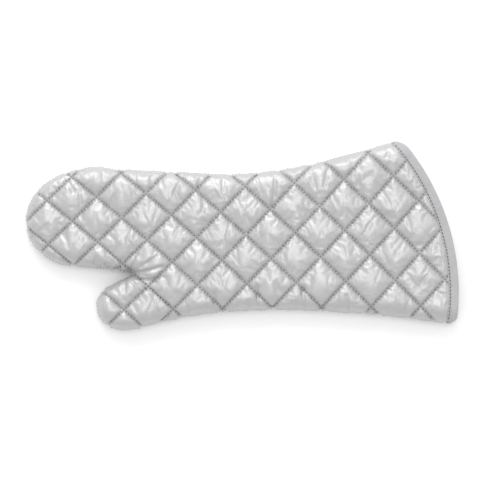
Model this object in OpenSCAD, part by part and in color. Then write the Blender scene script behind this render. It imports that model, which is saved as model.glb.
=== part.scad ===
// Long-cuffed oven mitt, lying flat with its palm up.
// Two quilted panels (outer fabric, wadding, lining) are sewn together round the side seam and turned,
// and a tape binds the mouth of the cuff. X runs from the fingertips to the cuff, Y across, Z up.
// The fingers and the thumb fold up from the hand about lines that lie in the plane of the side seam.

/* [Shape] */
// Height of the palm panel above the side seam
palm_rise = 15; // [13:0.5:20]
// Depth of the back panel below the side seam
back_drop = 13; // [12:0.5:18]
// Width of the rounded edge between the side seam and the flat of a panel
edge_roll = 16; // [13:0.5:18]

/* [Layers] */
// Thickness of the coated outer fabric
outer_t = 0.9; // [0.8:0.1:1.2]
// Thickness of the wadding
wadding_t = 5.0; // [4:0.5:5.5]
// Thickness of the lining
lining_t = 0.8; // [0.8:0.1:1]
// Width of the seam allowance turned into the mitt
allowance_w = 6; // [4:0.5:7]
// Thickness of one panel's pressed seam allowance
allowance_t = 1.4; // [1:0.1:2]

/* [Quilting] */
// Half the length of a quilted diamond, along X
diamond_half_l = 24.7; // [22:0.1:28]
// Half the width of a quilted diamond, along Y, at the middle of the mitt
diamond_half_w = 24.3; // [22:0.1:28]
// Growth of that half width from one column of knots to the next, towards the cuff
diamond_fan = 0.29; // [0:0.01:0.4]
// Width of a line of stitches
stitch_w = 0.9; // [0.6:0.1:1.2]
// Depth that a line of stitches sinks into the fabric
stitch_t = 0.5; // [0.3:0.1:0.6]

/* [Cuff] */
// Radius of the curved mouth edge
mouth_r = 235.7; // [225:0.1:245]
// Width of the binding tape on each face
binding_w = 10; // [7:0.5:14]
// Thickness of the binding tape where it wraps the mouth's edge
binding_t = 0.8; // [0.6:0.1:1.2]

/* [Folds] */
// Distance of the finger fold from the middle of the mitt
finger_fold_x = 133; // [128:1:150]
// Furthest that the fingers fold up
finger_fold_max = 60; // [30:5:60]
// Distance of the thumb fold from the crotch, towards the thumb's tip
thumb_fold_d = 14; // [12:1:18]
// Furthest that the thumb folds up
thumb_fold_max = 60; // [30:5:60]

/* [Hidden] */

SILVER = [0.80, 0.81, 0.82];
WADDING = [0.93, 0.92, 0.88];
LINING = [0.88, 0.88, 0.86];
THREAD = [0.45, 0.46, 0.47];
TAPE = [0.70, 0.70, 0.73];

PALM = 1;
BACK = -1;
SIDES = [["palm", PALM], ["back", BACK]];
PARTS = ["hand", "fingers", "thumb"];
seam_z = back_drop;
panel_t = outer_t + wadding_t + lining_t;
far = 300;
clear = 1;
arc_step = 3;
roll_step = 30;
spline_steps = 2;

// ---- Outline of the side seam, run anticlockwise from the top of the cuff to the bottom ----
notch = [-110.5, -38.2];
notch_r = 1.5;
crotch = notch + [notch_r, 0];
cuff_end_x = 235;

finger_side = [
    [cuff_end_x, 98], [190, 97], [156, 94.3], [108, 81.5], [60, 69.5], [18, 63.5], [-15, 61.5],
    [-60, 63.5], [-105, 65.5], [-130, 67.2], [-147, 69], [-168, 65.5], [-190, 57], [-206, 43.5],
    [-215, 25], [-215.6, 8], [-209.5, -7], [-198, -19.5], [-183, -27.5], [-163, -30.8],
    [-140, -32.6], [-122, -34.9], notch + notch_r * [cos(80), sin(80)]
];
thumb_side = [
    notch + notch_r * [cos(63), -sin(63)], [-124, -46.2], [-137, -53], [-143.8, -62], [-145.4, -73],
    [-141.5, -83], [-132, -91], [-119, -94.4], [-103, -92.2], [-82, -86.8], [-55, -80.8],
    [-25, -76.8], [10, -74.4], [48, -73.8], [85, -75.6], [120, -77.8], [162, -81.8],
    [198, -86.5], [cuff_end_x, -89]
];

function catmull(a, b, c, d, t) =
    0.5 * (2 * b + (c - a) * t + (2 * a - 5 * b + 4 * c - d) * t * t + (3 * b - a - 3 * c + d) * t * t * t);

function spline(p) = [
    for (i = [0 : len(p) - 2], k = [0 : spline_steps - 1])
        catmull(p[max(i - 1, 0)], p[i], p[i + 1], p[min(i + 2, len(p) - 1)], k / spline_steps),
    p[len(p) - 1]
];

seam = concat(
    spline(finger_side),
    [for (a = [48 : -32 : -48]) notch + notch_r * [cos(a), sin(a)]],
    spline(thumb_side)
);
last = len(seam) - 1;

function unit(v) = v / norm(v);
function left_of(v) = [-v.y, v.x] / norm(v);
inward = [
    for (i = [0 : last])
        i == 0 ? [0, -1]
        : i == last ? [0, 1]
        : left_of(unit(seam[i + 1] - seam[i]) + unit(seam[i] - seam[i - 1]))
];
function inset(d) = [for (i = [0 : last]) seam[i] + d * inward[i]];

// ---- A panel's outer face, moved inwards by t, closed off at the plane of the side seam ----
function rolled(t, a) = inset(t + (edge_roll - t) * (1 - cos(a)));

module dome(height, t) {
    angles = [0 : roll_step : 90];
    rings = [for (a = angles) [for (p = rolled(t, a)) [p.x, p.y, (height - t) * sin(a)]]];
    n = last + 1;
    top = len(rings) - 1;
    polyhedron(
        points = [for (r = rings) each r],
        faces = [
            [for (i = [0 : last]) i],
            [for (i = [last : -1 : 0]) top * n + i],
            for (k = [0 : top - 1], i = [0 : last])
                let (j = (i + 1) % n)
                    each [
                        [k * n + i, (k + 1) * n + i, (k + 1) * n + j],
                        [k * n + i, (k + 1) * n + j, k * n + j]
                    ]
        ]
    );
}

module panel_space(side, t)
    translate([0, 0, seam_z])
        mirror([0, 0, side == BACK ? 1 : 0])
            dome(side == PALM ? palm_rise : back_drop, t);

module skin(side, from, to)
    difference() {
        panel_space(side, from);
        panel_space(side, to);
    }

// ---- The mouth: everything on the hand's side of an arc that lies e inside the mouth's edge ----
mouth_centre = [-19, -57.2];
mouth_from = -20;
mouth_to = 55;

module inside_mouth(e)
    translate([0, 0, -far / 2])
        linear_extrude(far)
            polygon(concat(
                [[-far, far], [-far, -far]],
                [for (a = [mouth_from : arc_step : mouth_to]) mouth_centre + (mouth_r - e) * [cos(a), sin(a)]]
            ));

module mouth_band(outer, inner)
    difference() {
        inside_mouth(outer);
        inside_mouth(inner);
    }

// A layer of a panel, from one depth to another, that stops e inside the mouth's edge
module layer(side, from, to, e)
    intersection() {
        skin(side, from, to);
        inside_mouth(e);
    }

// ---- Folds: [point on the fold line, direction away from the hand, furthest angle] ----
thumb_out = 220;
fingers_out = 180;
fold_slack = 1;
fold_gap = 0.4;
gap_angle = 6.8;
finger_fold = [[-finger_fold_x, 0], fingers_out, finger_fold_max];
thumb_fold = [crotch + thumb_fold_d * [cos(thumb_out), sin(thumb_out)], thumb_out, thumb_fold_max];

// The space beyond a fold. Above the seam's plane its face leans away from the hand (lean 1)
// or over it (lean -1), so that the two faces close as the fold reaches its furthest angle.
module beyond(fold, lean) {
    foot = lean * fold_gap / 2;
    head = foot + lean * far * tan(fold[2] / 2 + fold_slack);
    translate([fold[0].x, fold[0].y, seam_z])
        rotate([90, 0, fold[1]])
            linear_extrude(2 * far, center = true)
                polygon([[foot, 0], [foot, -far], [far, -far], [far, far], [head, far]]);
}

// The plan of the mitt on the fingers' side or the thumb's side of the gap between them
gap_end = crotch - far * [1, tan(gap_angle)];

module zone(corners)
    translate([0, 0, -far / 2])
        linear_extrude(far)
            polygon(corners);

module finger_space(lean)
    intersection() {
        beyond(finger_fold, lean);
        zone([crotch, [crotch.x, far], [gap_end.x, far], gap_end]);
    }

module thumb_space(lean)
    intersection() {
        beyond(thumb_fold, lean);
        zone([crotch, gap_end, [gap_end.x, -far], [0, -far], [0, crotch.y]]);
    }

// Closes its children into one solid, with the middle of the mitt over the origin
middle = [0.2, 0.25, 0];

module one_solid()
    translate(-middle)
        resize([0, 0, 0])
            children();

// Cuts its children down to the hand, the fingers or the thumb
module section(part)
    one_solid()
        if (part == "hand")
            difference() {
                children();
                finger_space(-1);
                thumb_space(-1);
            }
        else
            intersection() {
                children();
                if (part == "fingers") finger_space(1);
                else thumb_space(1);
            }

// ---- Quilting: knots where lines of stitches cross, at the corners of the diamonds ----
quilt_centre = [4.1, 0.3];
quilt_rise = 1.16;
quilt_lean = -0.49;
knots_x = 10;
knots_y = 5;

function knot(i, j) =
    quilt_centre
    + [diamond_half_l * i + quilt_lean * j, quilt_rise * i + (diamond_half_w + diamond_fan * i) * j];

function stitch_line(k, slope) = [
    for (i = [-knots_x : knots_x])
        let (j = slope * i + 2 * k)
            if (abs(j) <= knots_y) knot(i, j)
];

function side_line(p, d) = [
    for (i = [0 : len(p) - 1])
        p[i] + d * left_of(p[min(i + 1, len(p) - 1)] - p[max(i - 1, 0)])
];

module ribbon(p, w) {
    far_side = side_line(p, w / 2);
    polygon(concat(side_line(p, -w / 2), [for (i = [len(p) - 1 : -1 : 0]) far_side[i]]));
}

// The lattice of stitches, sunk into the flat of a panel's outer face and standing clear of it
module lattice(side)
    intersection() {
        translate([0, 0, side == PALM ? seam_z + palm_rise - stitch_t : seam_z - back_drop - clear])
            linear_extrude(stitch_t + clear)
                for (slope = [-1, 1], k = [-knots_x : knots_x])
                    if (len(stitch_line(k, slope)) > 1)
                        ribbon(stitch_line(k, slope), stitch_w);
        inside_mouth(binding_w);
    }

// ---- A band that follows the side seam, from inset d0 to inset d1 ----
module seam_band(d0, d1, z0, z1)
    intersection() {
        translate([0, 0, z0])
            linear_extrude(z1 - z0)
                difference() {
                    polygon(inset(d0));
                    polygon(inset(d1));
                }
        inside_mouth(binding_w);
    }

allowance_root = panel_t + 0.6;
allowance_edge = panel_t + allowance_w;
allowance_low = seam_z - allowance_t;
allowance_high = seam_z + allowance_t;

// ---- Sub-parts ----
module outer_fabric(side, part)
    color(SILVER)
        section(part)
            difference() {
                layer(side, 0, outer_t, binding_w);
                lattice(side);
            }

module wadding(side, part)
    color(WADDING)
        section(part)
            layer(side, outer_t, outer_t + wadding_t, binding_t);

module lining(side, part)
    color(LINING)
        section(part)
            layer(side, outer_t + wadding_t, panel_t, binding_w);

// The edges of both panels beyond the side seam, pressed together and turned inside the mitt
module seam_allowance(part)
    color(LINING)
        section(part)
            seam_band(allowance_root, allowance_edge, allowance_low, allowance_high);

module quilting_thread(side, part)
    color(THREAD)
        section(part)
            intersection() {
                lattice(side);
                panel_space(side, 0);
            }

// The row of stitches that joins the panels, seen on both faces of the seam allowance
seam_row_in = 1.6;

module side_seam_thread(part)
    color(THREAD)
        section(part)
            for (z = [allowance_high, allowance_low - stitch_t])
                seam_band(panel_t + seam_row_in, panel_t + seam_row_in + stitch_w, z, z + stitch_t);

// The row of stitches that holds the binding, sunk into the tape on both faces of the cuff
binding_row_in = 1.4;
binding_row_t = binding_t / 2;

module binding_row(side, from)
    intersection() {
        skin(side, from, binding_row_t);
        mouth_band(binding_w - binding_row_in - stitch_w, binding_w - binding_row_in);
    }

// Folded tape, as thick as the outer fabric outside and as the lining inside, round the wadding's edge
module binding_tape(side)
    difference() {
        intersection() {
            skin(side, 0, panel_t);
            mouth_band(0, binding_w);
        }
        layer(side, outer_t, outer_t + wadding_t, binding_t);
    }

module cuff_binding()
    color(TAPE)
        one_solid()
            for (side = [PALM, BACK])
                difference() {
                    binding_tape(side);
                    binding_row(side, -clear);
                }

module cuff_binding_thread()
    color(THREAD)
        one_solid()
            for (side = [PALM, BACK])
                binding_row(side, 0);

// ---- Nodes ----
for (side = SIDES, part = PARTS) {
    outer_fabric(side[1], part);
    wadding(side[1], part);
    lining(side[1], part);
    quilting_thread(side[1], part);
}
for (part = PARTS) {
    seam_allowance(part);
    side_seam_thread(part);
}
cuff_binding();
cuff_binding_thread();
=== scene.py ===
"""The looks of the long-cuffed oven mitt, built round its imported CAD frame.

Lengths in the shape functions are millimetres in the frame's own axes: X runs from the fingertips
to the cuff, Y away from the thumb and Z up out of the palm. Meshes are made in metres.
"""

import math

import bpy
import numpy as np
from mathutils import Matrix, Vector
from mathutils.geometry import delaunay_2d_cdt


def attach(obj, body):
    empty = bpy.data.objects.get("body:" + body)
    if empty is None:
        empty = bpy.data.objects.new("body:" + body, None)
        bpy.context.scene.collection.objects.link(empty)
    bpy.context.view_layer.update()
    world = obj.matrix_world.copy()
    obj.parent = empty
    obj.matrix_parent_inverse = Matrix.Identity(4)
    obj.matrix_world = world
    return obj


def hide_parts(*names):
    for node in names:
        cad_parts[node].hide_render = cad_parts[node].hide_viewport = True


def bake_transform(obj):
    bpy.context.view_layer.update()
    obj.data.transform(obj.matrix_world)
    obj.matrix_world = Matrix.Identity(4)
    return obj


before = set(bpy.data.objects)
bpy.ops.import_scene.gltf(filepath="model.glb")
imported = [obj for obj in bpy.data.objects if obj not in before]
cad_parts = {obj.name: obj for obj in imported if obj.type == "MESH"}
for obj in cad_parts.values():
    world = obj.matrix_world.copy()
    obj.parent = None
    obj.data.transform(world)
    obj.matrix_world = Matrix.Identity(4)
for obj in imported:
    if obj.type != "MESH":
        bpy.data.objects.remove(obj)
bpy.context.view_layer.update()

MM = 0.001
BATCH = 1500

# ---- Shape, as in the CAD part ----
MIDDLE = np.array([0.2, 0.25])
SEAM_Z = 13.0
RISE = {"palm": 15.0, "back": -13.0}
UP = {"palm": 1.0, "back": -1.0}
SEEDS = {"palm": 0.0, "back": 40.0}
ROLL_W = 16.0
MOUTH_CENTRE = np.array([-19.0, -57.2]) - MIDDLE
MOUTH_R = 235.7
CORNER_R = 7.0
BINDING_W = 10.0
NOTCH = np.array([-110.5, -38.2])
NOTCH_R = 1.5
CROTCH = NOTCH + [NOTCH_R, 0] - MIDDLE

# The side seam, from the top of the cuff round the fingers to the crotch, then round the thumb
FINGER_SIDE = [
    (235, 98), (190, 97), (156, 94.3), (108, 81.5), (60, 69.5), (18, 63.5), (-15, 61.5),
    (-60, 63.5), (-105, 65.5), (-130, 67.2), (-147, 69), (-168, 65.5), (-190, 57), (-206, 43.5),
    (-215, 25), (-215.6, 8), (-209.5, -7), (-198, -19.5), (-183, -27.5), (-163, -30.8),
    (-140, -32.6), (-122, -34.9),
]
THUMB_SIDE = [
    (-124, -46.2), (-137, -53), (-143.8, -62), (-145.4, -73),
    (-141.5, -83), (-132, -91), (-119, -94.4), (-103, -92.2), (-82, -86.8), (-55, -80.8),
    (-25, -76.8), (10, -74.4), (48, -73.8), (85, -75.6), (120, -77.8), (162, -81.8),
    (198, -86.5), (235, -89),
]

# The plan position and size of the quilting. A knot lies at each pair of whole numbers i, j whose sum is even
QUILT_CENTRE = np.array([4.1, 0.3]) - MIDDLE
DIAMOND_L = 24.7
DIAMOND_W = 24.3
DIAMOND_FAN = 0.29
QUILT_RISE = 1.16
QUILT_LEAN = -0.49
LINE_GAP = 34.4
QUILT_DEPTH = 3.5
SWELL_POWER = 3.0
PUFF_POWER = 0.62
STITCHES_A_SIDE = 10
STITCH_PITCH = LINE_GAP / STITCHES_A_SIDE

# Small folds beside the lines of stitches: size, wavelength and shift of each wave
PUCKER_WAVES = ((0.7, 6.3, 1.0), (0.9, 9.7, 2.1), (1.0, 15.1, 5.3))
PUCKER_GATHER = 47.0
PUCKER_DEPTH = 0.05
PUCKER_REACH = 7.5

# Long folds in each diamond
FOLDS_A_DIAMOND = 4
FOLD_SPREAD = (22, 16)
FOLD_TURN = 80

# The slow rise and fall of a panel: wavelength and direction of each wave
UNEVEN_WAVES = ((61, 20), (43, 75), (33, 130), (24, 50), (19, 160))
UNEVEN_DEPTH = 0.5

# How far the side seam is drawn in at a line of stitches and elsewhere, and how far in that reaches
GATHER_IN = 0.85
GATHER_ROUGH = 0.16
GATHER_REACH = 5


def on_notch(degrees):
    a = math.radians(degrees)
    return tuple(NOTCH + NOTCH_R * np.array([math.cos(a), math.sin(a)]))


def spline(points, steps=10):
    """A smooth curve through the points."""
    p = np.array(points, float)
    p = np.vstack([p[:1], p, p[-1:]])
    out = []
    for a, b, c, d in zip(p, p[1:], p[2:], p[3:]):
        for t in np.arange(steps) / steps:
            out.append(0.5 * (2 * b + (c - a) * t + (2 * a - 5 * b + 4 * c - d) * t**2
                              + (3 * b - a - 3 * c + d) * t**3))
    return np.array(out + [p[-1]])


SEAM = np.vstack([
    spline(FINGER_SIDE + [on_notch(80)]),
    [on_notch(a) for a in range(56, -57, -16)],
    spline([on_notch(-63)] + THUMB_SIDE),
]) - MIDDLE


def ways_along(line):
    """The unit direction of a line at each of its points."""
    way = np.gradient(line, axis=0)
    return way / np.linalg.norm(way, axis=1)[:, None]


def left_of(way):
    """The directions a quarter turn to the left, which is into the mitt for one that runs along SEAM."""
    return np.stack([-way[:, 1], way[:, 0]], axis=1)


def batches(p):
    """The points in groups small enough to compare with every point of the seam at once."""
    return np.array_split(p, len(p) // BATCH + 1)


def seam_distance(p):
    """How far each point in plan lies from the side seam."""
    a, d = SEAM[:-1], np.diff(SEAM, axis=0)
    size = np.maximum((d**2).sum(1), 1e-9)
    out = []
    for part in batches(p):
        ap = part[:, None, :] - a[None]
        t = np.clip((ap * d).sum(2) / size, 0, 1)
        out.append(np.sqrt(((ap - t[..., None] * d) ** 2).sum(2)).min(1))
    return np.concatenate(out)


def seam_inward(p):
    """The direction into the mitt from the nearest stretch of the side seam."""
    middles, way = (SEAM[:-1] + SEAM[1:]) / 2, np.diff(SEAM, axis=0)
    near = np.concatenate([
        ((part[:, None] - middles[None]) ** 2).sum(2).argmin(1) for part in batches(p)
    ])
    return left_of(way[near] / np.linalg.norm(way[near], axis=1)[:, None])


def corner_cut(d):
    """How much the rounding of the mouth's corners takes off its edge, at seam distance d."""
    near = np.clip(CORNER_R - d, 0, CORNER_R)
    return CORNER_R - np.sqrt(CORNER_R**2 - near**2)


def mouth_inset(p, d=CORNER_R):
    """How far each point lies inside the mouth's edge, which has rounded corners if d is seam distance."""
    return MOUTH_R - np.linalg.norm(p - MOUTH_CENTRE, axis=1) - corner_cut(d)


def inside(p, loop):
    """Which points lie inside the closed loop."""
    a, b = loop, np.roll(loop, -1, axis=0)
    out = []
    for part in batches(p):
        x, y = part[:, None, 0], part[:, None, 1]
        cross = (a[None, :, 1] > y) != (b[None, :, 1] > y)
        rise = np.where(b[:, 1] == a[:, 1], 1e-9, b[:, 1] - a[:, 1])
        at = a[:, 0] + (y - a[:, 1]) * (b[:, 0] - a[:, 0]) / rise
        out.append((cross & (x < at)).sum(1) % 2 == 1)
    return np.concatenate(out)


# ---- Quilting ----
def knot(i, j):
    x = QUILT_CENTRE[0] + DIAMOND_L * i + QUILT_LEAN * j
    y = QUILT_CENTRE[1] + QUILT_RISE * i + (DIAMOND_W + DIAMOND_FAN * i) * j
    return np.stack([x, y], axis=-1)


def quilt_coordinates(p):
    """u and v of each point: lines of stitches run where one of them is a whole number."""
    x, y = (p - QUILT_CENTRE).T
    j = y / DIAMOND_W
    for _ in range(6):
        i = (x - QUILT_LEAN * j) / DIAMOND_L
        j = (y - QUILT_RISE * i) / (DIAMOND_W + DIAMOND_FAN * i)
    return (i + j) / 2, (i - j) / 2


def to_lines(w):
    """How far u or v takes each point from the nearest line of stitches."""
    return np.abs(w - np.round(w)) * LINE_GAP


def to_stitches(u, v):
    """How far each point lies from the nearest line of stitches of either direction."""
    return np.minimum(np.abs(u - np.round(u)), np.abs(v - np.round(v))) * LINE_GAP


def swell(a):
    """The section of a puffed channel: 0 at a line of stitches, 1 midway between two."""
    return 1 - (1 - np.clip(a / (LINE_GAP / 2), 0, 1)) ** SWELL_POWER


def pucker(side, line, along, a, seed):
    """Small folds that run away from a line of stitches, different along each line and on each side of it."""
    phase = line * 12.9898 + side * 78.233 + seed
    turn = 2 * math.pi * along
    waves = sum(size * np.sin(turn / wave + shift * phase) for size, wave, shift in PUCKER_WAVES)
    gather = np.clip(np.sin(turn / PUCKER_GATHER + 1.7 * phase) + 0.9, 0.15, 2)
    return PUCKER_DEPTH * waves * gather * np.exp(-a / PUCKER_REACH) * (1 - np.exp(-a / 1.1))


def chance(a, b, c):
    """A number from 0 to 1 for each a, b and c, without a pattern that shows."""
    return (np.sin(a * 127.1 + b * 311.7 + c * 74.7) * 43758.5453) % 1


def folds(u, v, p, seed):
    """A few long folds in each diamond, run across the mitt, with one side steeper than the other."""
    cu, cv = np.floor(u), np.floor(v)
    centre = knot(cu + cv + 1, cu - cv)
    edge = np.minimum(np.minimum(u - cu, cu + 1 - u), np.minimum(v - cv, cv + 1 - v)) * LINE_GAP
    total = np.zeros(len(p))
    for k in range(FOLDS_A_DIAMOND):
        r = [chance(cu + seed, cv, 10.0 * k + q) for q in range(6)]
        lean = np.radians(90 + FOLD_TURN * (r[0] - 0.5))
        at = p - centre - np.stack([FOLD_SPREAD[0] * (r[1] - 0.5), FOLD_SPREAD[1] * (r[2] - 0.5)], axis=1)
        along = at[:, 0] * np.cos(lean) + at[:, 1] * np.sin(lean)
        off = at[:, 1] * np.cos(lean) - at[:, 0] * np.sin(lean) + 0.012 * along**2 * (r[3] - 0.5)
        width = np.where((off > 0) == (r[4] > 0.5), 0.9 + 0.8 * r[5], 2.6 + 2.0 * r[5])
        total += (0.3 + 0.75 * r[3]) * np.exp(-((off / width) ** 2) - (along / (8 + 7 * r[4])) ** 2)
    return total * (1 - np.exp(-((edge / 1.6) ** 2)))


def uneven(p, seed):
    """A slow rise and fall over the whole panel, from -1 to 1 or so."""
    total = np.zeros(len(p))
    for k, (wave, turn) in enumerate(UNEVEN_WAVES):
        way = np.array([math.cos(math.radians(turn)), math.sin(math.radians(turn))])
        total += np.sin(2 * math.pi * (p @ way) / wave + seed + 1.9 * k)
    return total / 3


def gathered(p):
    """Where the side seam's gathering moves each point: in at each line of stitches, and a bit unevenly."""
    d = seam_distance(p)
    off = to_stitches(*quilt_coordinates(p))
    x, y = p.T
    rough = np.sin(x / 1.35 + 0.4 * y) + np.sin(x / 2.3 - y / 1.9 + 1) + np.sin(x / 4.1 + y / 2.7 + 2)
    deep = GATHER_IN * np.exp(-((off / 2.4) ** 2)) + GATHER_ROUGH * rough
    deep *= np.exp(-d / GATHER_REACH) * np.clip((mouth_inset(p, d) - BINDING_W) / 8, 0, 1)
    return p + deep[:, None] * seam_inward(p)


# Creases pressed into each panel along short lines: start, end, depth and half width
CREASES = {
    "palm": [
        ((-109, -38), (-79, -31), 3.6, 2.0), ((-109, -41), (-86, -46), 3.0, 1.7),
        ((-111, -44), (-101, -56), 2.2, 1.6), ((-104, -39), (-92, -40), 2.4, 1.3),
        ((-111, -34), (-105, -18), 2.0, 1.6), ((-100, -31), (-84, -20), 2.2, 1.5),
        ((-94, -43), (-76, -41), 1.8, 1.4), ((-103, -48), (-88, -60), 1.7, 1.6),
        ((-124, -33), (-118, -21), 1.4, 1.8), ((-130, -49), (-122, -60), 1.3, 1.7),
        ((15, -52), (17, -76), 2.6, 2.2), ((61, -54), (64, -76), 2.2, 2.2),
        ((30, 28), (34, 52), 2.0, 2.4), ((-44, 46), (-40, 64), 1.6, 2.2),
        ((104, -60), (108, -78), 1.6, 2.0), ((-28, -58), (-26, -78), 1.8, 2.2),
        ((82, 50), (88, 74), 1.5, 2.4), ((-168, 44), (-176, 58), 1.4, 2.4),
    ],
    "back": [
        ((-109, -37.5), (-84, -28), 3.0, 2.6), ((20, -52), (18, -74), 2.0, 2.4),
        ((40, 34), (46, 60), 2.0, 2.4),
    ],
}


def creased(name, p):
    """How deep the creases press each point of that panel in."""
    depth = np.zeros(len(p))
    for start, end, deep, half in CREASES[name]:
        a, b = np.array(start) - MIDDLE, np.array(end) - MIDDLE
        along = (p - a) @ (b - a) / ((b - a) @ (b - a))
        nearest = a + np.clip(along, 0, 1)[:, None] * (b - a)
        away = np.linalg.norm(p - nearest, axis=1)
        fade = np.where(along < 0.5, 1, 1.4 - 0.8 * np.clip(along, 0, 1))
        depth += deep * np.exp(-((away / half) ** 2)) * fade
    return depth


def height(name, p, inset=0.0, detail=True):
    """Z of the surface that lies inset below the outer face of the palm or back panel."""
    d = seam_distance(p)
    e = mouth_inset(p, d)
    u, v = quilt_coordinates(p)
    a, b = to_lines(u), to_lines(v)
    at_mouth = np.clip((e - BINDING_W) / 12, 0, 1)
    puff = (swell(a) * swell(b)) ** PUFF_POWER
    seed = SEEDS[name]
    drop = QUILT_DEPTH * (1 - puff) * (0.35 + 0.65 * at_mouth)
    drop += 1.3 * (1 - np.clip((e - BINDING_W + 1) / 5, 0, 1))
    if detail:
        drop -= pucker(np.sign(u - np.round(u)), np.round(u), v * LINE_GAP, a, seed) * at_mouth
        drop -= pucker(np.sign(v - np.round(v)), np.round(v) + 20, u * LINE_GAP, b, seed + 9) * at_mouth
        drop += folds(u, v, p, seed) * at_mouth
    drop += creased(name, p) + UNEVEN_DEPTH * uneven(p, seed) * at_mouth
    full = abs(RISE[name]) - np.clip(drop, -1.0, 10.5) - inset
    k = np.clip((d - inset) / (ROLL_W - inset), 0, 1)
    rolled = np.sqrt(1 - (1 - k) ** 2)
    return SEAM_Z + UP[name] * np.maximum(full, 0.8) * rolled


# ---- Plan meshes: NEARLY is how far a point may be out and still count as on a line ----
NEARLY = 0.05
GRID_X = (-220, 225)
GRID_Y = (-100, 102)
EDGE_ROWS = (0.15, 0.55, 1.2)


def used(points, faces):
    """Only the points that the faces use."""
    ids, new = np.unique(faces, return_inverse=True)
    return points[ids], new.reshape(faces.shape)


def resampled(line, step):
    length = np.concatenate([[0], np.cumsum(np.linalg.norm(np.diff(line, axis=0), axis=1))])
    at = np.linspace(0, length[-1], max(2, int(round(length[-1] / step)) + 1))
    return np.stack([np.interp(at, length, line[:, k]) for k in (0, 1)], axis=1)


def boundary(inset, edge, step):
    """The edge of a panel: the side seam moved in by inset, closed by the mouth's arc moved in by edge."""
    side = resampled(SEAM, step)
    if inset:
        side = side + inset * left_of(ways_along(side))
        side = side[seam_distance(side) > inset - NEARLY]
    side = side[mouth_inset(side) > edge + 0.3]
    angles = [math.atan2(*(q - MOUTH_CENTRE)[::-1]) for q in (side[-1], side[0])]
    count = int((angles[1] - angles[0]) * MOUTH_R / step)
    turn = np.linspace(angles[0], angles[1], count)[1:-1]
    ends = MOUTH_CENTRE + (MOUTH_R - edge) * np.stack([np.cos(turn), np.sin(turn)], axis=1)
    return np.vstack([side, ends])


def stitch_rows(step_count):
    """Every line of stitches, as points, with step_count steps from one crossing to the next."""
    reach = np.arange(-10 * step_count, 10 * step_count + 1) / step_count
    for family in (0, 1):
        for whole in range(-8, 9):
            fixed = np.full(len(reach), float(whole))
            u, v = (fixed, reach) if family == 0 else (reach, fixed)
            yield knot(u + v, u - v)


def plan_mesh(inset, edge, step, rows=True):
    """Points and triangles that fill a panel in plan, with rows of points along its lines of stitches."""
    loop = boundary(inset, edge, step)
    points = [loop]
    x = np.arange(*GRID_X, step)
    y = np.arange(*GRID_Y, step * 0.866)
    grid = np.array([(q + (step / 2 if k % 2 else 0), w) for k, w in enumerate(y) for q in x])
    grid = grid[inside(grid, loop)]
    d = seam_distance(grid)
    clear = to_stitches(*quilt_coordinates(grid)) > (0.5 * step if rows else -1)
    mouth = mouth_inset(grid) > edge + 0.6 * step
    points.append(grid[(d > inset + 2.0 * step) & clear & mouth])
    side = resampled(SEAM, step)
    inwards = left_of(ways_along(side))
    for out in EDGE_ROWS:
        ring = side + (inset + out * step) * inwards
        keep = seam_distance(ring) > inset + out * step - NEARLY
        keep &= mouth_inset(ring) > edge + 0.6 * step
        points.append(ring[keep])
    if rows:
        row = np.vstack(list(stitch_rows(2 * STITCHES_A_SIDE)))
        row = row[inside(row, loop)]
        keep = seam_distance(row) > inset + 1.7 * step
        keep &= mouth_inset(row) > edge + 0.5 * step
        points.append(np.unique(row[keep].round(4), axis=0))
    every = np.vstack(points)
    count = len(loop)
    edges = [(k, (k + 1) % count) for k in range(count)]
    verts, _, faces, *_ = delaunay_2d_cdt([Vector(q) for q in every], edges, [], 1, 1e-5, False)
    verts, faces = np.array([tuple(q) for q in verts]), np.array([tuple(f) for f in faces])
    return used(verts, faces[inside(verts[faces].mean(axis=1), loop)])


# ---- Mesh helpers ----
def make(name, points, faces, material=None):
    """An object from points in millimetres."""
    mesh = bpy.data.meshes.new(name)
    mesh.from_pydata((np.asarray(points) * MM).tolist(), [], [list(map(int, f)) for f in faces])
    mesh.polygons.foreach_set("use_smooth", np.ones(len(mesh.polygons), bool))
    mesh.update()
    obj = bpy.data.objects.new(name, mesh)
    bpy.context.scene.collection.objects.link(obj)
    if material:
        mesh.materials.append(material)
    return obj


def is_thumb(p):
    """The thumb's side of the line of stitches that runs through the crotch."""
    return (quilt_coordinates(p)[0] < -3) & (p[:, 1] < CROTCH[1])


def bend(obj, part):
    """Bakes obj's world transform into its mesh, the same for the fingers' and the thumb's pieces."""
    if part == "thumb":
        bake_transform(obj)
    else:
        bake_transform(obj)
    return obj


def parts_of(stem, part):
    """The CAD nodes that a main or thumb piece stands for."""
    return [f"{stem}_{p}" for p in (("hand", "fingers") if part == "main" else ("thumb",))]


def halves(points, faces):
    """The main piece and the thumb piece of a mesh, parted along the line of stitches through the crotch."""
    thumb = is_thumb(points[faces].mean(axis=1)[:, :2])
    return {"main": used(points, faces[~thumb]), "thumb": used(points, faces[thumb])}


# ---- Materials ----
def painted_stitch_shade(m, colour):
    """The colour darkened by painted shade in the stitched valleys and at the needle holes, as far as the
    mesh's point attribute for it says.
    """
    n, link = m.node_tree.nodes, m.node_tree.links.new
    shade_weight = n.new("ShaderNodeAttribute")
    shade_weight.attribute_name = "stitch_shade_weight"
    dark = n.new("ShaderNodeMix")
    dark.data_type = "RGBA"
    dark.blend_type = "MULTIPLY"
    dark.inputs["B"].default_value = (0.34, 0.34, 0.35, 1)
    link(shade_weight.outputs["Fac"], dark.inputs["Factor"])
    link(colour, dark.inputs["A"])
    return dark.outputs["Result"]


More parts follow.
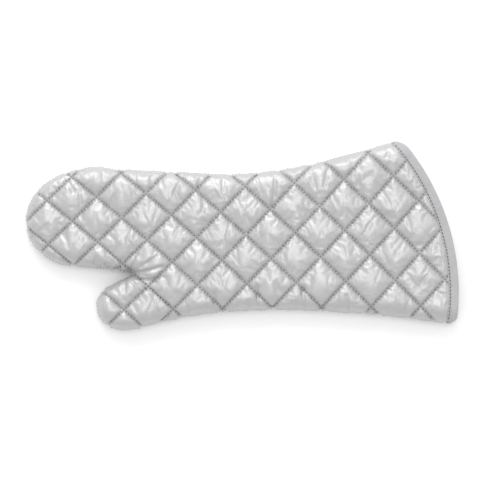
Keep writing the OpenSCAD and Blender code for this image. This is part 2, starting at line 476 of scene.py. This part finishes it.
def material(
    name, base, rough, metallic=0.0, sheen=0.0, weave=1100, bump=0.15, mottle=0.06, grain=350, yarn=0.35,
    fleck=0.1, stitch_shaded=False,
):
    """Cloth or thread: crossed yarns and grain in the bump, flecks, slow changes of colour and roughness, and
    painted shade between the yarns.

    weave and grain are scales. yarn, bump, mottle and fleck are strengths. The last argument adds painted
    shade in the stitched valleys and at the needle holes.
    """
    m = bpy.data.materials.new(name)
    m.use_nodes = True
    n, link = m.node_tree.nodes, m.node_tree.links.new
    shader = n["Principled BSDF"]
    shader.inputs["Metallic"].default_value = metallic
    shader.inputs["Sheen Weight"].default_value = sheen
    shader.inputs["Sheen Roughness"].default_value = 0.4
    where = n.new("ShaderNodeTexCoord")

    def noise(scale, detail=3.0):
        node = n.new("ShaderNodeTexNoise")
        node.inputs["Scale"].default_value = scale
        node.inputs["Detail"].default_value = detail
        link(where.outputs["Object"], node.inputs["Vector"])
        return node.outputs["Fac"]

    def ramp(source, low, high, from_=0.3, to=0.7):
        node = n.new("ShaderNodeMapRange")
        node.inputs["From Min"].default_value = from_
        node.inputs["From Max"].default_value = to
        node.inputs["To Min"].default_value = low
        node.inputs["To Max"].default_value = high
        link(source, node.inputs["Value"])
        return node.outputs["Result"]

    def maths(kind, a, b):
        node = n.new("ShaderNodeMath")
        node.operation = kind
        for k, value in enumerate((a, b)):
            if isinstance(value, (int, float)):
                node.inputs[k].default_value = value
            else:
                link(value, node.inputs[k])
        return node.outputs[0]

    yarns = []
    for axis in ("X", "Y"):
        wave = n.new("ShaderNodeTexWave")
        wave.wave_type = "BANDS"
        wave.bands_direction = axis
        wave.inputs["Scale"].default_value = weave / 6.283
        wave.inputs["Distortion"].default_value = 1.2
        wave.inputs["Detail"].default_value = 2.0
        link(where.outputs["Object"], wave.inputs["Vector"])
        yarns.append(wave.outputs["Fac"])
    woven = maths("MULTIPLY", yarns[0], yarns[1])
    relief = maths("ADD", maths("MULTIPLY", woven, yarn), maths("MULTIPLY", noise(grain, 4.0), 0.9))
    height_map = n.new("ShaderNodeBump")
    height_map.inputs["Strength"].default_value = bump
    height_map.inputs["Distance"].default_value = 0.001
    link(relief, height_map.inputs["Height"])
    link(height_map.outputs["Normal"], shader.inputs["Normal"])

    slow_tone = ramp(noise(28, 4.0), 1 - mottle, 1 + mottle)
    mix = n.new("ShaderNodeMix")
    mix.data_type = "RGBA"
    mix.inputs["A"].default_value = (*[c * 0.86 for c in base], 1)
    mix.inputs["B"].default_value = (*base, 1)
    flecks = ramp(noise(2 * grain, 2.0), 1 - fleck, 1 + fleck)
    # Painted shade between the yarns: the colour is darker where the weave's relief is low. The slow mottle
    # is the cloth's own tone.
    tone_and_yarn_shade = maths("MULTIPLY", slow_tone, ramp(woven, 1 - 0.4 * yarn, 1.0, 0.0, 0.6))
    link(maths("MULTIPLY", tone_and_yarn_shade, flecks), mix.inputs["Factor"])
    colour = mix.outputs["Result"]
    # Painted shade in the stitched valleys and at the needle holes
    if stitch_shaded:
        colour = painted_stitch_shade(m, colour)
    link(colour, shader.inputs["Base Color"])
    link(ramp(noise(60, 5.0), rough - 0.06, rough + 0.08), shader.inputs["Roughness"])
    return m


SILVER = material(
    "silver coated cotton", (0.488, 0.491, 0.487), 0.40, metallic=0.42, bump=0.2, mottle=0.12, yarn=0.04,
    stitch_shaded=True,
)
BATTING = material("cotton wadding", (0.86, 0.84, 0.78), 0.95, weave=300, bump=0.8, grain=900)
COTTON = material("brushed cotton lining", (0.78, 0.77, 0.73), 0.9, sheen=0.5, weave=1500, bump=0.3)
TAPE = material(
    "grey woven tape", (0.44, 0.44, 0.45), 0.72, sheen=0.3, weave=2000, bump=0.6, mottle=0.05, fleck=0.7,
)
THREAD = material("grey thread", (0.42, 0.42, 0.425), 0.55, weave=3500, bump=0.5)
DARK_THREAD = material("dark grey thread", (0.15, 0.15, 0.155), 0.6, weave=3500, bump=0.5)


# ---- Cloth simulation: a puffed panel, held along its stitches, finds its own wrinkles ----
SIM_SCALE = 10.0
SIM_FRAMES = 16
SIM_LIMIT = 2.5
STRETCH_STIFFNESS = 20
SHEAR_STIFFNESS = 8
BENDING_STIFFNESS = 1.0
DAMPING = 12
EXTRA_CLOTH = 0.035
PRESSURE = 2.0


def settled(name, points, faces, held):
    """The points after the cloth, cut a little larger than its space, is blown out against its stitches."""
    big = make("settling", points * SIM_SCALE, faces)
    group = big.vertex_groups.new(name="held")
    group.add([int(k) for k in np.flatnonzero(held)], 1.0, "REPLACE")
    cloth = big.modifiers.new("cloth", "CLOTH")
    s = cloth.settings
    s.quality = 5
    s.mass = 0.3
    s.tension_stiffness = s.compression_stiffness = STRETCH_STIFFNESS
    s.shear_stiffness = SHEAR_STIFFNESS
    s.bending_stiffness = BENDING_STIFFNESS
    s.tension_damping = s.compression_damping = s.shear_damping = DAMPING
    s.air_damping = 3
    s.vertex_group_mass = "held"
    s.pin_stiffness = 1
    s.shrink_min = -EXTRA_CLOTH
    s.use_pressure = True
    s.uniform_pressure_force = PRESSURE
    s.effector_weights.gravity = 0
    cloth.collision_settings.use_collision = False
    cloth.point_cache.frame_start, cloth.point_cache.frame_end = 1, SIM_FRAMES
    scene = bpy.context.scene
    for f in range(1, SIM_FRAMES + 1):
        scene.frame_set(f)
    moved = big.evaluated_get(bpy.context.evaluated_depsgraph_get()).data
    out = np.empty(len(points) * 3)
    moved.vertices.foreach_get("co", out)
    scene.frame_set(1)
    bpy.data.objects.remove(big)
    out = out.reshape(-1, 3) / MM / SIM_SCALE
    move = np.nan_to_num(out - points)
    size = np.linalg.norm(move, axis=1)[:, None]
    print(f"{name} panel moved by {float(size.mean()):.2f} mm on average, {float(size.max()):.2f} mm at most")
    return points + move * np.minimum(1, SIM_LIMIT / np.maximum(size, 1e-6))


# ---- The panels ----
CLOTH_STEP = 1.5
WADDING_STEP = 4.0
LINING_STEP = WADDING_STEP * 0.7
COVER_EDGE = BINDING_W - 1.5
LINING_INSET = 5.9
WADDING_INSET = 1.6
WADDING_EDGE = 6.5
WADDING_CLEAR = 0.8
NEEDLE_DEPTH = 0.4
LINE_SHADE_W = 1.45
FABRIC_LOW = 0.05


def facing(faces, name):
    return faces if name == "palm" else faces[:, ::-1]


outer_plan, outer_faces = plan_mesh(0, COVER_EDGE, CLOTH_STEP)
for side in ("palm", "back"):
    z = height(side, outer_plan)
    u, v = quilt_coordinates(outer_plan)
    off = to_stitches(u, v)
    d = seam_distance(outer_plan)
    on_line = (off < 0.02) & (d > 1)
    # 1 at each hole that the needle made, -1 midway between two
    needle = np.cos((u + v) * STITCHES_A_SIDE * 2 * math.pi)
    z = z - np.where(on_line, NEEDLE_DEPTH * needle, 0) * UP[side]
    # Weight of the painted shade: it fills the stitched valleys and is stronger at the needle holes than
    # between them
    shade_weight = np.exp(-((off / LINE_SHADE_W) ** 2)) * (0.66 + 0.34 * needle) * (d > 1)
    points = np.column_stack([gathered(outer_plan), z])
    e = mouth_inset(outer_plan, d)
    points = settled(side, points, facing(outer_faces, side), on_line | (d < 1.0) | (e < BINDING_W + 1))
    points[:, 2] = np.maximum(points[:, 2], FABRIC_LOW)
    with_shade_weight = np.column_stack([points, shade_weight])
    for part, (pts, fcs) in halves(with_shade_weight, outer_faces).items():
        cover = make(f"{side}_outer_fabric_{part}", pts[:, :3], facing(fcs, side), SILVER)
        attribute = cover.data.attributes.new("stitch_shade_weight", "FLOAT", "POINT")
        attribute.data.foreach_set("value", pts[:, 3].astype(np.float32))
        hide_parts(*parts_of(f"{side}_outer", part))
        bend(cover, part)

inner_plan, inner_faces = plan_mesh(LINING_INSET, COVER_EDGE, LINING_STEP, rows=False)
for side in ("palm", "back"):
    z = height(side, inner_plan, inset=LINING_INSET, detail=False)
    points = np.column_stack([inner_plan, z])
    for part, (pts, fcs) in halves(points, inner_faces).items():
        lining = make(f"{side}_lining_cloth_{part}", pts, facing(fcs, side)[:, ::-1], COTTON)
        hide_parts(*parts_of(f"{side}_lining", part))
        bend(lining, part)

wad_plan, wad_faces = plan_mesh(WADDING_INSET, WADDING_EDGE, WADDING_STEP, rows=False)
for side in ("palm", "back"):
    way = UP[side]
    top = height(side, wad_plan, inset=WADDING_INSET, detail=False)
    top = top - way * WADDING_CLEAR * np.clip((top - SEAM_Z) * way / 4, 0, 1)
    low = height(side, wad_plan, inset=LINING_INSET - 0.6, detail=False)
    low = np.where(np.abs(top - low) < 0.3, top - way * 0.3, low)
    count = len(wad_plan)
    points = np.vstack([np.column_stack([wad_plan, top]), np.column_stack([wad_plan, low])])
    for part in ("main", "thumb"):
        chosen = is_thumb(wad_plan[wad_faces].mean(axis=1)) == (part == "thumb")
        skin = wad_faces[chosen]
        ring = {}
        for a, b, c in skin:
            for edge in ((a, b), (b, c), (c, a)):
                ring[tuple(sorted(edge))] = None if tuple(sorted(edge)) in ring else edge
        walls = [(b, a, a + count, b + count) for a, b in (q for q in ring.values() if q is not None)]
        faces = [tuple(f) for f in skin] + [tuple(f[::-1] + count) for f in skin] + walls
        faces = faces if side == "palm" else [f[::-1] for f in faces]
        ids = sorted({int(k) for f in faces for k in f})
        new = {k: n for n, k in enumerate(ids)}
        part_faces = [[new[int(k)] for k in f] for f in faces]
        wadding = make(f"{side}_wadding_pad_{part}", points[ids], part_faces, BATTING)
        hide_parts(*parts_of(f"{side}_wadding", part))
        bend(wadding, part)


# ---- The seam allowance: both panels' edges pressed together, turned inside the mitt ----
# Its section: distance in from the side seam, and height over the seam's plane
ALLOWANCE = [(7.4, 1.3), (10.0, 1.35), (12.6, 1.1), (12.6, -1.1), (10.0, -1.35), (7.4, -1.3)]
ALLOWANCE_ROOT = ALLOWANCE[0][0]
ALLOWANCE_TIP = ALLOWANCE[2][0]

band_line = resampled(SEAM, 2.0)
band_in = left_of(ways_along(band_line))
keep = mouth_inset(band_line) > BINDING_W + 0.5
keep &= seam_distance(band_line + ALLOWANCE_TIP * band_in) > ALLOWANCE_TIP - 0.1
band_line, band_in = band_line[keep], band_in[keep]
# Its free edge waves up and down a little
step = np.arange(len(band_line))
wave = 0.35 * np.sin(step * 0.9) + 0.25 * np.sin(step * 0.37)
band_points = np.array([
    (*(q + d * n), SEAM_Z + z + w * (d - ALLOWANCE_ROOT) / 5.2)
    for q, n, w in zip(band_line, band_in, wave) for d, z in ALLOWANCE
])
round_band = len(ALLOWANCE)
band_faces = np.array([
    (k * round_band + s, k * round_band + t, (k + 1) * round_band + t, (k + 1) * round_band + s)
    for k in range(len(band_line) - 1) for s in range(round_band) for t in [(s + 1) % round_band]
])
for part, (pts, fcs) in halves(band_points, band_faces).items():
    band = make(f"seam_allowance_band_{part}", pts, fcs, COTTON)
    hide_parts(*parts_of("seam_allowance", part))
    bend(band, part)


# ---- Stitches ----
# Rings along a stitch: distance from its middle, radius, and height over the cloth
STITCH_RINGS = [
    (-1.3, 0.15, -0.35), (-0.95, 0.46, 0.15), (0.0, 0.56, 0.42), (0.95, 0.46, 0.15), (1.3, 0.15, -0.35),
]
STITCH_SIDES = 5
THREAD_LOW = 0.02
SEAM_CLEAR = 1.5


def stitches(centres, ways, ups):
    """Points and faces of a row of short thread loops that lie on the cloth and dive in at each end."""
    across = np.cross(ups, ways)
    turn = np.arange(STITCH_SIDES) / STITCH_SIDES * 2 * math.pi
    rings = []
    for along, thick, lift in STITCH_RINGS:
        middle = centres + ways * along + ups * lift
        round_it = np.cos(turn)[None, :, None] * across[:, None] + np.sin(turn)[None, :, None] * ups[:, None]
        rings.append(middle[:, None] + thick * round_it)
    points = np.stack(rings, axis=1)
    per = len(STITCH_RINGS) * STITCH_SIDES
    faces = []
    for k in range(len(centres)):
        for r in range(len(STITCH_RINGS) - 1):
            for s in range(STITCH_SIDES):
                q, t = k * per + r * STITCH_SIDES, (s + 1) % STITCH_SIDES
                faces.append((q + s, q + t, q + STITCH_SIDES + t, q + STITCH_SIDES + s))
        faces.append(tuple(k * per + s for s in range(STITCH_SIDES))[::-1])
        faces.append(tuple(k * per + per - STITCH_SIDES + s for s in range(STITCH_SIDES)))
    return points.reshape(-1, 3), faces


def on_surface(name, p):
    return np.column_stack([p, height(name, p, detail=False)])


def stitches_on(name, centres, ways, reach, lift):
    """Stitches along a panel, each tilted to fit the surface from reach before its middle to reach after."""
    a, b = on_surface(name, centres - ways * reach), on_surface(name, centres + ways * reach)
    way3 = (b - a) / np.linalg.norm(b - a, axis=1)[:, None]
    up3 = np.cross(np.cross(way3, [0, 0, UP[name]]), way3)
    up3 /= np.linalg.norm(up3, axis=1)[:, None]
    return stitches((a + b) / 2 + up3 * lift, way3, up3)


for side in ("palm", "back"):
    centres, ways = [], []
    for line in stitch_rows(STITCHES_A_SIDE):
        mids = (line[:-1] + line[1:]) / 2
        along = np.diff(line, axis=0)
        keep = inside(mids, boundary(0, BINDING_W, 3.0)) & (seam_distance(mids) > SEAM_CLEAR)
        centres.append(mids[keep])
        ways.append(along[keep] / np.linalg.norm(along[keep], axis=1)[:, None])
    centres, ways = np.vstack(centres), np.vstack(ways)
    for part in ("main", "thumb"):
        chosen = is_thumb(centres) == (part == "thumb")
        pts, fcs = stitches_on(side, centres[chosen], ways[chosen], reach=0.9, lift=0.1)
        pts[:, 2] = np.maximum(pts[:, 2], THREAD_LOW)
        thread = make(f"{side}_quilting_stitches_{part}", pts, fcs, THREAD)
        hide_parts(*parts_of(f"{side}_quilting_thread", part))
        bend(thread, part)

# The side seam's own row of stitches, where the two panels meet
side_row = resampled(SEAM, STITCH_PITCH)
side_way = ways_along(side_row)
side_in = left_of(side_way)
side_row = gathered(side_row) + 0.35 * side_in
keep = mouth_inset(side_row) > BINDING_W + 1
for part in ("main", "thumb"):
    chosen = keep & (is_thumb(side_row) == (part == "thumb"))
    c = np.column_stack([side_row[chosen], np.full(chosen.sum(), SEAM_Z)])
    w = np.column_stack([side_way[chosen], np.zeros(chosen.sum())])
    up = np.column_stack([-side_in[chosen], np.zeros(chosen.sum())])
    pts, fcs = stitches(c, w, up)
    seam = make(f"side_seam_stitches_{part}", pts, fcs, THREAD)
    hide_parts(*parts_of("side_seam_thread", part))
    bend(seam, part)


# ---- Binding tape round the mouth ----
TAPE_COUNT = 180
TAPE_ROW = BINDING_W - 1.4
# Across one face of the tape: distance inside the mouth's edge, and height over the panel.
# It dips at its row of stitches
TAPE_EDGE = [
    (BINDING_W + 0.2, 0.15), (BINDING_W, 0.75), (BINDING_W - 0.5, 0.95), (TAPE_ROW, 0.55),
    (BINDING_W - 2.3, 0.9), (BINDING_W - 4, 1.0), (BINDING_W - 6, 1.0), (4.0, 1.0), (2.2, 0.95), (1.0, 0.65),
    (0.2, 0.0), (-0.15, -1.0),
]


def across_mouth(e, t, count):
    """Points on the arc e inside the mouth's edge, where it is more than t inside the side seam."""
    turn = np.radians(np.linspace(-14, 50, 2600))
    arc = MOUTH_CENTRE + (MOUTH_R - e) * np.stack([np.cos(turn), np.sin(turn)], axis=1)
    loop = np.vstack([SEAM, [[240, -89], [240, 98]]])
    arc = arc[inside(arc, loop) & (seam_distance(arc) > max(t, 0) + 0.02)]
    ends = 0.5 - 0.5 * np.cos(np.linspace(0, math.pi, count))
    ease = 0.35 * ends + 0.65 * np.linspace(0, 1, count)
    at = np.linspace(0, 1, len(arc))
    return np.stack([np.interp(ease, at, arc[:, k]) for k in (0, 1)], axis=1)


def tape_ring(e, lift, lining=False):
    """One closed ring of the tape: across the palm from the lower corner, and back across the back panel."""
    inset = LINING_INSET + 0.5 if lining else 0.0
    line = across_mouth(max(e, 0), inset, TAPE_COUNT)
    d = seam_distance(line)
    corner = corner_cut(d) * np.clip(1 - e / BINDING_W, 0, 1)
    out = line - MOUTH_CENTRE
    out /= np.linalg.norm(out, axis=1)[:, None]
    # Round the corners by drawing the ring's ends back along the side seam
    back = left_of(seam_inward(line))
    slant = (back * out).sum(1)
    back = -back * np.sign(slant)[:, None]
    line = line + back * (corner / np.maximum(np.abs(slant), 0.3))[:, None] + out * min(e, 0)
    rings = []
    for name, order in (("palm", 1), ("back", -1)):
        z = height(name, line, inset, detail=False)
        z = z + UP[name] * lift * np.clip(np.abs(z - SEAM_Z) / 6, 0, 1)
        rings.append(np.column_stack([line, z])[::order])
    ring = np.vstack(rings)
    sides = np.minimum(d, 4.0) / 4.0
    push = lift * np.concatenate([1 - sides, (1 - sides)[::-1]])
    sign = np.concatenate([np.sign(line[:, 1]), np.sign(line[::-1, 1])])
    ring[:, 1] += push * sign
    return ring


def tape_mesh():
    """The folded tape, as a tube whose section wraps from the outer fabric over the edge to the lining."""
    rings = [tape_ring(e, lift) for e, lift in TAPE_EDGE]
    rings += [tape_ring(e, -lift, lining=True) for e, lift in TAPE_EDGE[-2::-1] if e > 0.5]
    count = len(rings[0])
    points = np.vstack(rings)
    faces = []
    for r in range(len(rings) - 1):
        for s in range(count):
            t = (s + 1) % count
            faces.append((r * count + s, r * count + t, (r + 1) * count + t, (r + 1) * count + s))
    return points, faces


tape_points, tape_faces = tape_mesh()
tape_points[:, 2] = np.maximum(tape_points[:, 2], THREAD_LOW)
tape = make("cuff_binding_tape", tape_points, [f[::-1] for f in tape_faces], TAPE)
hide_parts("cuff_binding")
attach(tape, "hand")

all_points, all_faces = [], []
for side in ("palm", "back"):
    line = resampled(across_mouth(TAPE_ROW, 0, 600), STITCH_PITCH)
    mids, along = (line[:-1] + line[1:]) / 2, np.diff(line, axis=0)
    keep = seam_distance(mids) > SEAM_CLEAR
    mids, along = mids[keep], along[keep] / np.linalg.norm(along[keep], axis=1)[:, None]
    pts, fcs = stitches_on(side, mids, along, reach=1.0, lift=0.7)
    shift = sum(len(q) for q in all_points)
    all_points.append(pts)
    all_faces += [tuple(k + shift for k in f) for f in fcs]
row_points = np.vstack(all_points)
row_points[:, 2] = np.maximum(row_points[:, 2], THREAD_LOW)
tape_row = make("cuff_binding_stitches", row_points, all_faces, DARK_THREAD)
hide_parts("cuff_binding_thread")
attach(tape_row, "hand")


# ---- Floor, light and camera, in metres ----
FLOOR_R = 3
floor_mesh = bpy.data.meshes.new("floor")
corners = [(-FLOOR_R, -FLOOR_R, 0), (FLOOR_R, -FLOOR_R, 0), (FLOOR_R, FLOOR_R, 0), (-FLOOR_R, FLOOR_R, 0)]
floor_mesh.from_pydata(corners, [], [(0, 1, 2, 3)])
floor = bpy.data.objects.new("floor", floor_mesh)
bpy.context.scene.collection.objects.link(floor)
floor.location.z = -0.0002
paper = bpy.data.materials.new("white paper")
paper.use_nodes = True
paper_shader = paper.node_tree.nodes["Principled BSDF"]
paper_shader.inputs["Base Color"].default_value = (0.98, 0.98, 0.98, 1)
paper_shader.inputs["Roughness"].default_value = 0.9
floor_mesh.materials.append(paper)


def lamp(name, power, size, place, target=(0, 0, 0)):
    data = bpy.data.lights.new(name, "AREA")
    data.energy, data.shape, data.size = power, "SQUARE", size
    obj = bpy.data.objects.new(name, data)
    bpy.context.scene.collection.objects.link(obj)
    obj.location = place
    obj.rotation_euler = (Vector(target) - Vector(place)).to_track_quat("-Z", "Y").to_euler()
    return obj


lights = [
    lamp("window", 14, 1.2, (-0.25, 1.5, 1.0)),
    lamp("ceiling", 8, 0.9, (0.15, 0.35, 2.2)),
]
# The room is pale on the window's side and dim on the other
world = bpy.data.worlds.new("studio")
world.use_nodes = True
wn, wlink = world.node_tree.nodes, world.node_tree.links.new
sky_way = wn.new("ShaderNodeTexCoord")
sky_split = wn.new("ShaderNodeSeparateXYZ")
sky_level = wn.new("ShaderNodeMapRange")
for socket, value in (("From Min", -0.9), ("From Max", 0.9), ("To Min", 0.8), ("To Max", 1.05)):
    sky_level.inputs[socket].default_value = value
wlink(sky_way.outputs["Generated"], sky_split.inputs["Vector"])
wlink(sky_split.outputs["Y"], sky_level.inputs["Value"])
wlink(sky_level.outputs["Result"], wn["Background"].inputs["Strength"])
wn["Background"].inputs["Color"].default_value = (1, 1, 1, 1)
bpy.context.scene.world = world

CAMERA_LENS = 200.0
SENSOR_W = 36.0
VIEW_W = 0.480
camera_data = bpy.data.cameras.new("camera")
camera_data.lens, camera_data.sensor_width = CAMERA_LENS, SENSOR_W
camera_data.clip_end = 20
camera = bpy.data.objects.new("camera", camera_data)
bpy.context.scene.collection.objects.link(camera)
camera.location = (-0.002, -0.0045, 0.020 + VIEW_W * CAMERA_LENS / SENSOR_W)
bpy.context.scene.camera = camera

bpy.context.scene.view_settings.view_transform = "Standard"
